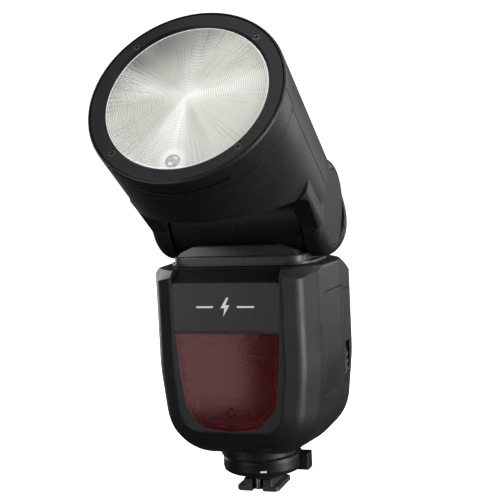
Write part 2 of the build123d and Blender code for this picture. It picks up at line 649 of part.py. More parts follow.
ring_axis = Plane(origin=(0, 0, 0))
ring = turned(
    ring_axis,
    (COLUMN_R + FIT, RING_BOTTOM),
    (RING_R - 1.4, RING_BOTTOM),
    (RING_R - 0.4, RING_BOTTOM + 0.7),
    (RING_R, RING_BOTTOM + 2),
    (RING_R, RING_TOP - 2),
    (RING_R - 0.4, RING_TOP - 0.7),
    (RING_R - 1.4, RING_TOP),
    (COLUMN_R + FIT, RING_TOP),
)
ring -= turned(ring_axis, (9, 8.6), (12.0, 8.6), (12.0, 13.6), (9, 13.6))
ring_tab = block((14.0, TAB_END), TAB_Y, (RING_BOTTOM, RING_TOP - 0.6), 0.8)
ring += ring_tab - rod(COLUMN_R + 3, (0, 0, 5), (0, 0, 20))
parts["lock_ring"] = ring

base_screws = []
for x, y in BASE_SCREWS:
    screw_face = Plane(origin=(x, y, PLATE_BOTTOM + 0.4), x_dir=(1, 0, 0), z_dir=(0, 0, -1))
    base_screws.append(small_screw(screw_face, 1.5, 1.2, 0.9, 4.0))
body_screws = [
    small_screw(Plane(origin=(x, 20.5, z), x_dir=(1, 0, 0), z_dir=(0, 1, 0)), 2.0, 1.2, 1.1, 3.4)
    for x, z in BODY_SCREWS
]
parts["case_screws"] = group(*base_screws, *body_screws)

# ---- Swivel and neck ----------------------------------------------------
parts["swivel_bearing"] = tube(19.0, STUB_R + FIT, (0, PIVOT_Y, 90.4), (0, PIVOT_Y, 94.9))
stub = rod(STUB_R, (0, PIVOT_Y, 89.8), (0, PIVOT_Y, FLANGE_Z[0]))
flange = block((-FLANGE_HALF, FLANGE_HALF), FLANGE_Y, FLANGE_Z, 12.0)
shoulder_z = (FLANGE_Z[1], NECK_SHOULDER)
shoulder = block((-NECK_HALF, NECK_HALF), (FLANGE_Y[0], FLANGE_Y[1] - 1), shoulder_z, NECK_CORNER)
shoulder = fillet(shoulder.faces().sort_by(Axis.Z)[-1].edges(), 0.8)
saddle = across(
    outline(
        (SADDLE_FRONT, NECK_SHOULDER),
        (SADDLE_FRONT + 1.2, NECK_CREST, 1.0),
        (FLANGE_Y[1] - 5, NECK_CREST, 2.0),
        (FLANGE_Y[1] - 3, NECK_SHOULDER),
    ),
    -SADDLE_HALF,
    SADDLE_HALF,
)
saddle &= deep(
    outline(
        (-SADDLE_HALF, NECK_SHOULDER),
        (-SADDLE_HALF + 1.5, NECK_SHOULDER + 1.6, 1.5),
        (-18, NECK_CREST, 5),
        (18, NECK_CREST, 5),
        (SADDLE_HALF - 1.5, NECK_SHOULDER + 1.6, 1.5),
        (SADDLE_HALF, NECK_SHOULDER),
    ),
    -30,
    20,
)
drum_space = rod(DRUM_R, (-29, PIVOT_Y, PIVOT_Z), (29, PIVOT_Y, PIVOT_Z))
CORE_X = 10.0
core_space = block((-CORE_X, CORE_X), (-13, 3), (FLANGE_Z[0], 125))
parts["swivel_base"] = stub + flange + shoulder + saddle - drum_space - core_space
retainer = rod(17.5, (0, PIVOT_Y, 88.2), (0, PIVOT_Y, 89.8))
parts["swivel_retainer"] = retainer - rod(4, (0, PIVOT_Y, 80), (0, PIVOT_Y, 99))
shaft_hole = rod(SHAFT_R, (-40, PIVOT_Y, PIVOT_Z), (40, PIVOT_Y, PIVOT_Z))
core_shape = block((-20, 20), (-20, 20), (FLANGE_Z[0], 124.0), 3.0, Axis.X)
parts["neck_core"] = (core_space & core_shape) - shaft_hole

drum_outer = rod(DRUM_R, (-NECK_HALF, PIVOT_Y, PIVOT_Z), (NECK_HALF, PIVOT_Y, PIVOT_Z))
drum_outer = chamfer(drum_outer.edges().filter_by(GeomType.CIRCLE), 0.5)
drum_inner = rod(DRUM_R - WALL, (-NECK_HALF + WALL, PIVOT_Y, PIVOT_Z), (NECK_HALF - WALL, PIVOT_Y, PIVOT_Z))
drum = drum_outer - drum_inner - core_space - shaft_hole
parts["neck_cover_left"] = drum & block((-40, -SEAM / 2), (-40, 40), (90, 140))
parts["neck_cover_right"] = drum & block((SEAM / 2, 40), (-40, 40), (90, 140))
shaft = rod(SHAFT_R, (-34.6, PIVOT_Y, PIVOT_Z), (34.6, PIVOT_Y, PIVOT_Z))
CLIP_X = 33.4
CLIP_THICK = 0.7
clips = []
for clip_side in (-1, 1):
    clip_ends = [(clip_side * clip_x, PIVOT_Y, PIVOT_Z) for clip_x in (CLIP_X, CLIP_X + CLIP_THICK)]
    shaft -= tube(SHAFT_R + 1, SHAFT_R - 0.6, *clip_ends)
    clip = tube(6.2, SHAFT_R - 0.6, *clip_ends)
    clips.append(clip - block((-40, 40), (PIVOT_Y - 1.8, PIVOT_Y + 1.8), (PIVOT_Z, PIVOT_Z + 10)))
parts["tilt_shaft"] = group(shaft, *clips)

# ---- Head casing --------------------------------------------------------
# Side outlines below are (Y, Z) in the head's frame, so a depth ahead of the pivot is -Y.
CHIN_CORNER = (-32.0, -15.0)
CHIN_EDGE = (-51.0, -36.0)
REAR_TANGENT = (CHEEK_R * cos(radians(30)), CHEEK_R * sin(radians(30)))
REAR_RISE = 30 / tan(radians(60))


def head_envelope(inset):
    """The head's outer shape without the notch for the neck, or its inside."""
    slope = (CHIN_EDGE[1] - CHIN_CORNER[1]) / (CHIN_EDGE[0] - CHIN_CORNER[0])
    low = -46.0
    chin_foot = CHIN_CORNER[0] + (low - CHIN_CORNER[1]) / slope
    side = outline(
        (-90, low),
        (chin_foot, low),
        (*CHIN_CORNER, 8),
        (0, -17),
        (*REAR_TANGENT,),
        (REAR_TANGENT[0] - REAR_RISE, REAR_TANGENT[1] + 30, 9),
        (-20, 41.5),
        (-90, 46),
    )
    side += Circle(CHEEK_R)
    barrel = rod(HEAD_R, (0, -HEAD_LENGTH, LENS_RISE), (0, 30, LENS_RISE))
    boss = rod(CHEEK_R, (-CHEEK_X, 0, 0), (CHEEK_X, 0, 0))
    boss = fillet(boss.edges().filter_by(GeomType.CIRCLE), CHEEK_ROUND)
    if inset:
        side = offset(side, -inset)
        barrel = rod(HEAD_R - inset, (0, -HEAD_LENGTH - 5, LENS_RISE), (0, 30, LENS_RISE))
        boss = rod(CHEEK_R - inset, (inset - CHEEK_X, 0, 0), (CHEEK_X - inset, 0, 0))
        boss = fillet(boss.edges().filter_by(GeomType.CIRCLE), CHEEK_ROUND - 1)
    sides = block((inset - CHEEK_X - 1.0, CHEEK_X + 1.0 - inset), (-100, 60), (-60, 60))
    skirt_half = SKIRT_HALF - inset
    skirt_low = SKIRT_LOW + inset
    skirt = deep(
        outline(
            (-skirt_half, -2),
            (-skirt_half, skirt_low, 4.5 - inset),
            (skirt_half, skirt_low, 4.5 - inset),
            (skirt_half, -2),
        ),
        inset - SKIRT_DEPTH,
        -1,
    )
    return ((barrel + skirt) & across(side, -60, 60) & sides) + boss


notch_side = outline((-1.5, 0), (-1.5, 30), (40, 30), (40, -60), (0, -60), (0, 0)) & Circle(NOTCH_REAR_R)
notch_side += outline((0, -9.8), (-16.2, -9.8), (-26.2, -15.9), (-29, -60), (0, -60))
notch_side += Circle(NOTCH_R)
notch = across(notch_side, -NOTCH_HALF, NOTCH_HALF)
notch_wall = across(offset(notch_side, WALL), -NOTCH_HALF - WALL, NOTCH_HALF + WALL)

head_hollow = head_envelope(WALL) - notch_wall
head_outside = head_envelope(0) - notch
casing = head_outside - head_hollow
casing -= rod(6.0, (-35.5, 0, 0), (35.5, 0, 0))
casing -= rod(CAP_R + 0.15, (CHEEK_X - CAP_THICK, 0, 0), (50, 0, 0))
casing -= rod(CAP_R + 0.15, (-50, 0, 0), (CAP_THICK - CHEEK_X, 0, 0))
casing -= rod(5.0, (-50, 0, 0), (50, 0, 0))
COLLAR_BACK = HEAD_LENGTH - COLLAR_DEPTH

rear_of_collar = block((-60, 60), (-COLLAR_BACK + SEAM, 60), (-60, 60))
upper_half = block((-60, 60), (-100, 60), (SEAM / 2, 60))
lower_half = block((-60, 60), (-100, 60), (-60, -SEAM / 2))
upper_shell = casing & rear_of_collar & upper_half
lower_shell = casing & rear_of_collar & lower_half
parts["head_upper_shell"] = in_place(upper_shell)
parts["head_lower_shell"] = in_place(lower_shell)

SLOT_DEPTHS = (HEAD_LENGTH - 7.0, HEAD_LENGTH - 6.0)
SLOT_HALF_ANGLE = 32
collar = turned(
    ahead(0),
    (HEAD_R - WALL, COLLAR_BACK),
    (HEAD_R, COLLAR_BACK),
    (HEAD_R, HEAD_LENGTH - 1.0),
    (HEAD_R - 0.3, HEAD_LENGTH - 0.3),
    (HEAD_R - RIM_WIDTH, HEAD_LENGTH),
    (HEAD_R - RIM_WIDTH, BEZEL_BACK),
    (HEAD_R - WALL, BEZEL_BACK),
)
slot_ring = turned(
    ahead(0),
    (HEAD_R - 1.2, SLOT_DEPTHS[0]),
    (HEAD_R + 1, SLOT_DEPTHS[0]),
    (HEAD_R + 1, SLOT_DEPTHS[1]),
    (HEAD_R - 1.2, SLOT_DEPTHS[1]),
)
reach = 60 * tan(radians(SLOT_HALF_ANGLE))
wedge = deep(outline((0, LENS_RISE), (-reach, LENS_RISE - 60), (reach, LENS_RISE - 60)), -100, 0)
collar -= slot_ring & wedge
for nick_side in (-1, 1):
    collar -= block((nick_side * HEAD_R - 0.5, nick_side * HEAD_R + 0.5), (-80, -COLLAR_BACK + 1), (1.7, 2.0))
parts["head_collar"] = in_place(collar)

bezel = turned(
    ahead(0),
    (BEZEL_INNER, BEZEL_BACK),
    (HEAD_R - RIM_WIDTH - 0.1, BEZEL_BACK),
    (HEAD_R - RIM_WIDTH - 0.1, HEAD_LENGTH - 0.7),
    (HEAD_R - RIM_WIDTH - 0.6, HEAD_LENGTH - 0.2),
    (BEZEL_INNER + 0.8, HEAD_LENGTH - 0.2),
    (BEZEL_INNER, HEAD_LENGTH - 0.9),
)
bezel_spots = []
for screw_angle in BEZEL_SCREW_ANGLES:
    spot_x = BEZEL_SCREW_R * cos(radians(screw_angle))
    spot_h = LENS_RISE + BEZEL_SCREW_R * sin(radians(screw_angle))
    bezel_spots.append(ahead(HEAD_LENGTH - 0.35, spot_h, spot_x))
for spot in bezel_spots:
    bezel -= screw_hole(spot, 1.6, 1.0, 0.8, 3.8)
parts["bezel_ring"] = in_place(bezel)
parts["bezel_screws"] = group(*[in_place(small_screw(spot, 1.5, 1.0, 0.8, 3.6)) for spot in bezel_spots])

parts["magnet_ring"] = in_place(
    turned(ahead(0), (32.8, 70.8), (35.7, 70.8), (35.7, BEZEL_BACK), (32.8, BEZEL_BACK))
)
lens = turned(
    ahead(0),
    (0, BEZEL_BACK - 1.6),
    (32.5, BEZEL_BACK - 1.6),
    (32.5, BEZEL_BACK),
    (LENS_R, BEZEL_BACK),
    (LENS_R, HEAD_LENGTH - 1.2),
    (0, HEAD_LENGTH - 1.2),
)
parts["fresnel_lens"] = in_place(lens)

# ---- Inside the head ----------------------------------------------------
LAMP_H = LENS_RISE - LAMP_DROP
frame_ring = turned(ahead(0), (29.0, FRAME_D[0]), (35.6, FRAME_D[0]), (35.6, FRAME_D[1]), (29.0, FRAME_D[1]))
frame_ring -= head_rod(3.4, 60, 75, 0, LAMP_H)
for rod_side in (-1, 1):
    frame_ring -= head_rod(ROD_R, 60, 75, rod_side * ROD_X, ROD_H)
frame_ring -= head_rod(SCREW_R + FIT, 60, 75, 0, SCREW_H)
parts["lens_frame"] = in_place(frame_ring)

lamp_board = head_block((-5.5, 5.5), (66.6, 67.8), (LAMP_H - 4.5, LAMP_H + 3.0), 0.8)
lamp_cup = head_rod(3.2, 67.8, 71.2, 0, LAMP_H) - turned(
    ahead(0, LAMP_H), (0, 68.8), (1.6, 68.8), (2.9, 71.3), (0, 71.3)
)
lamp_cup += head_rod(1.3, 68.8, 69.6, 0, LAMP_H)
parts["modelling_lamp"] = group(in_place(lamp_board), in_place(lamp_cup))

chassis = head_rod(35.4, *CHASSIS_D) & block((-60, 60), (-60, 0), (-5.5, 60))
for rod_side in (-1, 1):
    chassis -= head_rod(ROD_R, 20, 25, rod_side * ROD_X, ROD_H)
chassis -= head_rod(SCREW_R + 0.4, 20, 25, 0, SCREW_H)
trigger_coil = head_block((11, 20), (8, CHASSIS_D[0]), (22.5, 30), 1.0)
parts["head_chassis"] = group(in_place(chassis), in_place(trigger_coil))
parts["zoom_rods"] = group(*[
    in_place(head_rod(ROD_R, CHASSIS_D[0], FRAME_D[1], rod_side * ROD_X, ROD_H)) for rod_side in (-1, 1)
])

MOTOR_R = 4.9
MOTOR_H = 31.8
motor = head_rod(MOTOR_R, 5.5, CHASSIS_D[0], 0, MOTOR_H)
parts["zoom_motor"] = in_place(motor - head_rod(SCREW_R + FIT, 16, 25, 0, SCREW_H))
lead_screw = head_rod(SCREW_R, 17, 70.2, 0, SCREW_H)
GROOVE_STEP = 1.5
for turn in range(27):
    depth = 25.0 + turn * GROOVE_STEP
    lead_screw -= tube(SCREW_R + 1, SCREW_R - 0.3, (0, -depth - 0.6, SCREW_H), (0, -depth, SCREW_H))
parts["lead_screw"] = in_place(lead_screw)

carriage = head_rod(33.2, 42.0, REFLECTOR_D[0]) & block((-60, 60), (-60, 0), (-6.0, 26))
carriage += head_block((-5, 5), (41.5, 48.0), (26, 36.2), 1.0)
carriage -= head_rod(SCREW_R + FIT, 35, 60, 0, SCREW_H)
for rod_side in (-1, 1):
    carriage += head_rod(ROD_R + 1.6, 41.5, 47, rod_side * ROD_X, ROD_H)
    carriage -= head_rod(ROD_R + FIT, 35, 60, rod_side * ROD_X, ROD_H)
carriage -= head_rod(REFLECTOR_R[0] - 1, 35, 60)
parts["zoom_carriage"] = in_place(carriage)

near_d, far_d = REFLECTOR_D
near_r, far_r = REFLECTOR_R
bowl_line = Plane.XZ * ThreePointArc((near_r, near_d), (20.6, 54), (far_r, far_d))
bowl_outer = Plane.XZ * ThreePointArc((far_r + 1, far_d), (21.6, 53.4), (near_r + 1, near_d))
far_lip = Line((far_r, 0, far_d), (far_r + 1, 0, far_d))
near_lip = Line((near_r + 1, 0, near_d), (near_r, 0, near_d))
bowl_face = make_face([bowl_line, far_lip, bowl_outer, near_lip])
bowl = ahead(0) * revolve(bowl_face, Axis.Z)
TUBE_D = 51.5
TUBE_HALF = 21.0
bowl -= rod(2.4, (-40, -TUBE_D, LENS_RISE), (40, -TUBE_D, LENS_RISE))
parts["reflector"] = in_place(bowl)
glass_half = TUBE_HALF - 3
flash_glass = rod(2.0, (-glass_half, -TUBE_D, LENS_RISE), (glass_half, -TUBE_D, LENS_RISE))
tube_caps = []
for side in (-1, 1):
    cap_end = (side * (TUBE_HALF + 0.5), -TUBE_D, LENS_RISE)
    tube_caps.append(in_place(rod(2.3, (side * glass_half, -TUBE_D, LENS_RISE), cap_end)))
parts["flash_tube"] = group(in_place(flash_glass), *tube_caps)

hinge_plates = []
for side in (-1, 1):
    low, high = sorted((side * (NOTCH_HALF + WALL), side * 32.9))
    plate = across(Circle(14.0), low, high) - rod(SHAFT_R + FIT, (-40, 0, 0), (40, 0, 0))
    hinge_plates.append(plate)
parts["hinge_plates"] = group(*[in_place(plate) for plate in hinge_plates])
cap_disc = rod(CAP_R, (CHEEK_X - CAP_THICK, 0, 0), (CHEEK_X, 0, 0))
cap_disc = chamfer(cap_disc.edges().filter_by(GeomType.CIRCLE).sort_by(Axis.X)[-1], 0.2)
cap_plug = rod(4.9, (CHEEK_X - 2.0, 0, 0), (CHEEK_X - CAP_THICK, 0, 0))
hinge_cap = cap_disc + cap_plug
parts["hinge_caps"] = group(in_place(hinge_cap), in_place(Rot(0, 0, 180) * hinge_cap))

os.makedirs("parts", exist_ok=True)
for name, solid in parts.items():
    export_step(solid, f"parts/{name}.step")
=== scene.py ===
import json
import math

import bpy
from mathutils import Matrix, Vector


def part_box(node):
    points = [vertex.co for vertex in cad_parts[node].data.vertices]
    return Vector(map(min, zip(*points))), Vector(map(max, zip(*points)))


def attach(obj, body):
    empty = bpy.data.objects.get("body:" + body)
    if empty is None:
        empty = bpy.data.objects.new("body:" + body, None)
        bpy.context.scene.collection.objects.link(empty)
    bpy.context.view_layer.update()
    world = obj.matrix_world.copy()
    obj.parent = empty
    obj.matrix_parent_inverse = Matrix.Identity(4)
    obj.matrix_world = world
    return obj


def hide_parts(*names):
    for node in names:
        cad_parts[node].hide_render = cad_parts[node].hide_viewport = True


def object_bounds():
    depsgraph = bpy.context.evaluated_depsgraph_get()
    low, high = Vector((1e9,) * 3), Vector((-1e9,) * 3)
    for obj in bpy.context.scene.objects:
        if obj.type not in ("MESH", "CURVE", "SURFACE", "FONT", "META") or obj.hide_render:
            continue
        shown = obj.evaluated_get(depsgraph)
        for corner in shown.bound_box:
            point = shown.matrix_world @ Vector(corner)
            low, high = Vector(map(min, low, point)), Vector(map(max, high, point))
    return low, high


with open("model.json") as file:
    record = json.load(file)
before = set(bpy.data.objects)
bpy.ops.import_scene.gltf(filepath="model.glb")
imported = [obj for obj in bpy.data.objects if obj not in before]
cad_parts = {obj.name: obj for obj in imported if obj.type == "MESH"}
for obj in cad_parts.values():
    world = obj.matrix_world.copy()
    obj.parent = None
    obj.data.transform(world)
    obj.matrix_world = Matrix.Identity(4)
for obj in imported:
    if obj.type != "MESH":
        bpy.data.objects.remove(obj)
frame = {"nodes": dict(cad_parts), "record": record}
cad_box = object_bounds()

# A shoe-mount speedlight with a round head: looks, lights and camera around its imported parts.
# The front faces -Y, X runs to the viewer's right, and +Z is up. Sizes below are in millimetres.
MM = 0.001
NODES = frame["nodes"]
RECORD = frame["record"]
SMOOTH_ANGLE = math.radians(32)


# ---- Colours ------------------------------------------------------------
# Painted reflection of the reflector behind the lens: dull and pale spoke streaks, and dark dots
LENS_DULL = (0.74, 0.755, 0.69)
LENS_PALE = (0.86, 0.875, 0.81)
# Painted light: bright bands and middle of the lens
LENS_PAINTED_BRIGHT = (0.93, 0.95, 0.89)
LENS_SHADE = (0.13, 0.13, 0.13)
# Painted light: the lens's paler foot
LENS_PAINTED_LIT_FOOT = (0.88, 0.89, 0.85)
LENS_RING = (0.22, 0.23, 0.21)
LENS_PAINTED_REFLECTION_DOT = (0.12, 0.12, 0.12)
# Painted glow round the lamp, and painted highlight on the lens's cut edge
LENS_PAINTED_GLOW = (0.95, 0.95, 0.93)
LENS_COMB = 90.0
# Where the lens's painted shade and painted light on its pale foot start and end: heights on slanted
# lines, from its centre
SHADE_SLOPE = -0.55
SHADE_START = 12.0
SHADE_END = 34.0
FOOT_SLOPE = 0.35
FOOT_START = -8.0
FOOT_END = -28.0
# Where the painted glow round the lamp, its bright surround, starts to fade and ends: distances from the
# lamp
PAINTED_GLOW_START = 3.6
PAINTED_GLOW_END = 6.4

WINDOW_DARK = (0.052, 0.005, 0.007)
WINDOW_RED = (0.070, 0.007, 0.010)
WINDOW_PAINTED_EDGE_LIGHT = (0.34, 0.012, 0.016)
WINDOW_SHEEN = (1.0, 0.58, 0.58, 1.0)
WINDOW_ALPHA = 0.62
MASK_DARK = (0.012, 0.05, 0.025)
MASK_GREEN = (0.03, 0.10, 0.045)


# ---- Material building --------------------------------------------------
class Shader:
    """A node tree around one Principled shader, with short calls for the nodes used here."""

    def __init__(self, name):
        self.material = bpy.data.materials.new(name)
        self.material.use_nodes = True
        self.tree = self.material.node_tree
        self.tree.nodes.clear()
        self.surface = self.node("ShaderNodeBsdfPrincipled")
        output = self.node("ShaderNodeOutputMaterial")
        self.link(self.surface.outputs[0], output.inputs["Surface"])
        self.point = self.node("ShaderNodeTexCoord").outputs["Object"]

    def node(self, kind, **settings):
        made = self.tree.nodes.new(kind)
        for key, value in settings.items():
            setattr(made, key, value)
        return made

    def link(self, source, target):
        self.tree.links.new(source, target)

    def put(self, socket, value):
        if isinstance(value, bpy.types.NodeSocket):
            self.link(value, socket)
        else:
            socket.default_value = value

    def set(self, **values):
        """Sets the Principled shader's sockets, with _ for a space in their names."""
        for key, value in values.items():
            self.put(self.surface.inputs[key.replace("_", " ")], value)

    def math(self, operation, first, second=0.0):
        made = self.node("ShaderNodeMath", operation=operation)
        for socket, value in zip(made.inputs, (first, second)):
            self.put(socket, value)
        return made.outputs[0]

    def length(self, across, along):
        """The length of a flat vector."""
        squares = [self.math("MULTIPLY", part, part) for part in (across, along)]
        return self.math("SQRT", self.math("ADD", *squares))

    def lean(self, u, v, slope):
        """The height v with a slope along u added."""
        return self.math("ADD", v, self.math("MULTIPLY", u, slope))

    def noise(self, scale, detail=2.0, point=None):
        made = self.node("ShaderNodeTexNoise")
        self.link(point or self.point, made.inputs["Vector"])
        made.inputs["Scale"].default_value = scale
        made.inputs["Detail"].default_value = detail
        return made.outputs["Fac"]

    def ramp(self, value, low, high, start=0.0, end=1.0):
        """Maps value from low..high to start..end, clamped and eased."""
        made = self.node("ShaderNodeMapRange", interpolation_type="SMOOTHSTEP")
        for socket, number in zip(made.inputs, (value, low, high, start, end)):
            self.put(socket, number)
        return made.outputs[0]

    def mix(self, factor, first, second):
        made = self.node("ShaderNodeMix", data_type="RGBA")
        self.put(made.inputs[0], factor)
        for socket, colour in ((made.inputs[6], first), (made.inputs[7], second)):
            self.put(socket, colour if isinstance(colour, bpy.types.NodeSocket) else (*colour, 1.0))
        return made.outputs[2]

    def split(self):
        made = self.node("ShaderNodeSeparateXYZ")
        self.link(self.point, made.inputs[0])
        return made.outputs

    def bump(self, height, distance, strength=1.0, under=None):
        made = self.node("ShaderNodeBump")
        self.link(height, made.inputs["Height"])
        made.inputs["Distance"].default_value = distance
        made.inputs["Strength"].default_value = strength
        if under is not None:
            self.link(under, made.inputs["Normal"])
        return made.outputs[0]

    def rounded(self, radius):
        """The surface's normal with its sharp edges softened, and how close an edge is."""
        bevel = self.node("ShaderNodeBevel", samples=4)
        bevel.inputs["Radius"].default_value = radius
        plain = self.node("ShaderNodeNewGeometry").outputs["Normal"]
        turn = self.node("ShaderNodeVectorMath", operation="DOT_PRODUCT")
        self.link(bevel.outputs[0], turn.inputs[0])
        self.link(plain, turn.inputs[1])
        return bevel.outputs[0], self.ramp(turn.outputs["Value"], 0.995, 0.86)


def moulded(name, colour, roughness, grain, grain_depth, edge=0.3, worn=1.7, specular=0.5):
    """Moulded plastic or paint: fine grain, uneven sheen and slightly polished, paler edges."""
    s = Shader(name)
    fine = s.noise(grain, 3.0)
    cloudy = s.noise(55.0, 3.0)
    specks = s.noise(grain * 0.35, 1.0)
    normal, near_edge = s.rounded(edge * MM)
    patchy = s.math("MULTIPLY", near_edge, s.ramp(s.noise(240.0, 2.0), 0.35, 0.65))
    dark = tuple(channel * 0.86 for channel in colour)
    light = tuple(channel * 1.16 for channel in colour)
    pale = tuple(channel * worn + 0.004 for channel in colour)
    body = s.mix(s.ramp(specks, 0.3, 0.7), dark, light)
    body = s.mix(s.math("MULTIPLY", patchy, 0.7), body, pale)
    s.set(Base_Color=body, Specular_IOR_Level=specular)
    uneven = s.ramp(cloudy, 0.25, 0.75, roughness - 0.035, roughness + 0.045)
    s.set(Roughness=s.math("SUBTRACT", uneven, s.math("MULTIPLY", near_edge, 0.08)))
    s.set(Normal=s.bump(fine, grain_depth * MM, 0.8, normal))
    return s.material


def metal(name, colour, roughness, brushed=900.0, edge=0.2):
    """Plated or machined metal with fine brushing and faint tarnish."""
    s = Shader(name)
    streak = s.noise(brushed, 4.0)
    normal, near_edge = s.rounded(edge * MM)
    dull = tuple(channel * 0.72 for channel in colour)
    tone = s.mix(s.ramp(s.noise(130.0, 3.0), 0.3, 0.7), dull, colour)
    bright = tuple(min(1.0, channel * 1.15) for channel in colour)
    s.set(Base_Color=s.mix(near_edge, tone, bright), Metallic=1.0)
    s.set(Roughness=s.ramp(streak, 0.2, 0.8, roughness - 0.06, roughness + 0.1))
    s.set(Normal=s.bump(streak, 0.01 * MM, 0.5, normal))
    return s.material


def lens_material():
    """Ribbed plastic over a bright reflector, as it reads from outside with its light painted in: rings,
    spokes of painted reflection, a painted bright middle.
    """
    s = Shader("lens")
    x, y, _ = s.split()
    u, v = (s.math("MULTIPLY", part, 1000.0) for part in (x, y))
    radius = s.length(u, v)
    angle = s.math("ARCTAN2", v, u)
    ring_phase = s.math("MULTIPLY", radius, 2 * math.pi / RING_PITCH)
    ring = s.ramp(s.math("SINE", ring_phase), 0.0, 0.9)
    # Spoke-wise streaks, painted reflection of the reflector behind: broad soft ones, and a fine comb that
    # dots the rings
    around = s.node("ShaderNodeCombineXYZ")
    s.link(s.math("COSINE", angle), around.inputs[0])
    s.link(s.math("SINE", angle), around.inputs[1])
    s.link(s.math("MULTIPLY", radius, 0.010), around.inputs[2])
    broad = s.noise(1.7, 1.0, around.outputs[0])
    narrow = s.noise(6.0, 1.0, around.outputs[0])
    comb = s.math("SINE", s.math("MULTIPLY", angle, LENS_COMB))
    dots = s.math("MULTIPLY", s.ramp(comb, 0.1, 0.8), ring)
    dots = s.math("MULTIPLY", dots, s.ramp(narrow, 0.46, 0.60))
    dots = s.math("MULTIPLY", dots, s.ramp(radius, 5.0, 12.0))
    tone = s.mix(s.ramp(broad, 0.38, 0.62), LENS_DULL, LENS_PALE)
    # Painted light: bright bands straight across and up through the middle, and a bright middle
    across = s.ramp(s.math("ABSOLUTE", s.lean(u, v, 0.05)), 5.0, 0.5)
    upward = s.ramp(s.math("ABSOLUTE", u), 6.0, 0.5)
    upward = s.math("MULTIPLY", upward, s.ramp(v, -6.0, 4.0))
    cross = s.math("MULTIPLY", s.math("MAXIMUM", across, upward), s.ramp(radius, 30.0, 6.0, 0.35, 0.6))
    tone = s.mix(cross, tone, LENS_PAINTED_BRIGHT)
    tone = s.mix(s.ramp(radius, 9.0, 1.0, 0.0, 0.45), tone, LENS_PAINTED_BRIGHT)
    # Painted shade of the rim over the upper left, and painted light on a paler foot
    shade = s.ramp(s.lean(u, v, SHADE_SLOPE), SHADE_START, SHADE_END)
    shade = s.math("MULTIPLY", shade, s.ramp(broad, 0.75, 0.45, 0.45, 1.0))
    tone = s.mix(s.math("MULTIPLY", shade, 0.72), tone, LENS_SHADE)
    foot = s.lean(u, v, FOOT_SLOPE)
    tone = s.mix(s.ramp(foot, FOOT_START, FOOT_END, 0.0, 0.35), tone, LENS_PAINTED_LIT_FOOT)
    tone = s.mix(s.math("MULTIPLY", ring, s.ramp(radius, 2.0, 10.0, 0.15, 0.46)), tone, LENS_RING)
    tone = s.mix(s.math("MULTIPLY", dots, 0.7), tone, LENS_PAINTED_REFLECTION_DOT)
    # Painted glow: a bright surround of the modelling lamp on the lens, and a painted highlight on the cut
    # edge, brighter towards the top
    from_lamp = s.length(u, s.math("SUBTRACT", v, LAMP_V))
    tone = s.mix(s.ramp(from_lamp, PAINTED_GLOW_END, PAINTED_GLOW_START), tone, LENS_PAINTED_GLOW)
    edge = s.ramp(radius, LENS_R - 0.6, LENS_R - 0.4)
    edge = s.math("MULTIPLY", edge, s.ramp(v, -16.0, 4.0, 0.25, 1.0))
    tone = s.mix(edge, tone, LENS_PAINTED_GLOW)
    s.set(Base_Color=tone, Roughness=0.2, Specular_IOR_Level=0.45, Transmission_Weight=0.1)
    s.set(Normal=s.bump(s.math("SINE", ring_phase), 0.03 * MM, 0.4))
    return s.material


def window_material():
    """Dark red translucent plastic with a smooth gloss and painted light: a brighter red along its edges.
    """
    s = Shader("window_red")
    near_edge = s.rounded(0.25 * MM)[1]
    tone = s.mix(s.ramp(s.noise(70.0, 3.0), 0.3, 0.7), WINDOW_DARK, WINDOW_RED)
    # Painted light: the window's edges are tinted a brighter red
    tone = s.mix(near_edge, tone, WINDOW_PAINTED_EDGE_LIGHT)
    s.set(Base_Color=tone, Alpha=WINDOW_ALPHA, Specular_IOR_Level=0.5, Specular_Tint=WINDOW_SHEEN)
    s.set(Roughness=s.ramp(s.noise(60.0, 1.0), 0.3, 0.7, 0.08, 0.095))
    return s.material


def clear_material(name, colour, roughness, transmission):
    s = Shader(name)
    tone = s.mix(s.ramp(s.noise(300.0), 0.3, 0.7), tuple(c * 0.9 for c in colour), colour)
    s.set(Base_Color=tone, Transmission_Weight=transmission, Coat_Weight=0.5)
    s.set(Roughness=s.ramp(s.noise(400.0), 0.3, 0.7, roughness, roughness + 0.05))
    return s.material


def board_material():
    """A circuit board: green solder mask with faint copper runs under it."""
    s = Shader("boards")
    voronoi = s.node("ShaderNodeTexVoronoi", distance="MANHATTAN")
    s.link(s.point, voronoi.inputs["Vector"])
    voronoi.inputs["Scale"].default_value = 260.0
    run = s.ramp(voronoi.outputs["Distance"], 0.42, 0.5)
    s.set(Base_Color=s.mix(run, MASK_DARK, MASK_GREEN))
    s.set(Roughness=s.ramp(s.noise(300.0), 0.3, 0.7, 0.32, 0.45))
    s.set(Normal=s.bump(run, 0.03 * MM, 0.5))
    return s.material


def printed(name, colour):
    """Printed ink, slightly uneven."""
    s = Shader(name)
    tone = s.mix(s.ramp(s.noise(1500.0, 2.0), 0.35, 0.65), tuple(c * 0.86 for c in colour), colour)
    s.set(Base_Color=tone, Roughness=s.ramp(s.noise(700.0), 0.3, 0.7, 0.42, 0.55))
    s.set(Normal=s.bump(s.noise(2500.0), 0.003 * MM, 0.4))
    return s.material


# ---- Mesh building ------------------------------------------------------
def piece(name, verts, faces, material, body, matrix=None, smooth=True):
    """A mesh from points in millimetres, in its own frame or the row frame, riding on a body."""
    mesh = bpy.data.meshes.new(name)
    mesh.from_pydata([Vector(v) * MM for v in verts], [], faces)
    mesh.validate()
    mesh.update()
    if smooth:
        mesh.shade_smooth()
        mesh.set_sharp_from_angle(angle=SMOOTH_ANGLE)
    mesh.materials.append(material)
    made = bpy.data.objects.new(name, mesh)
    bpy.context.scene.collection.objects.link(made)
    if matrix is not None:
        made.matrix_world = matrix
    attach(made, body)
    return made


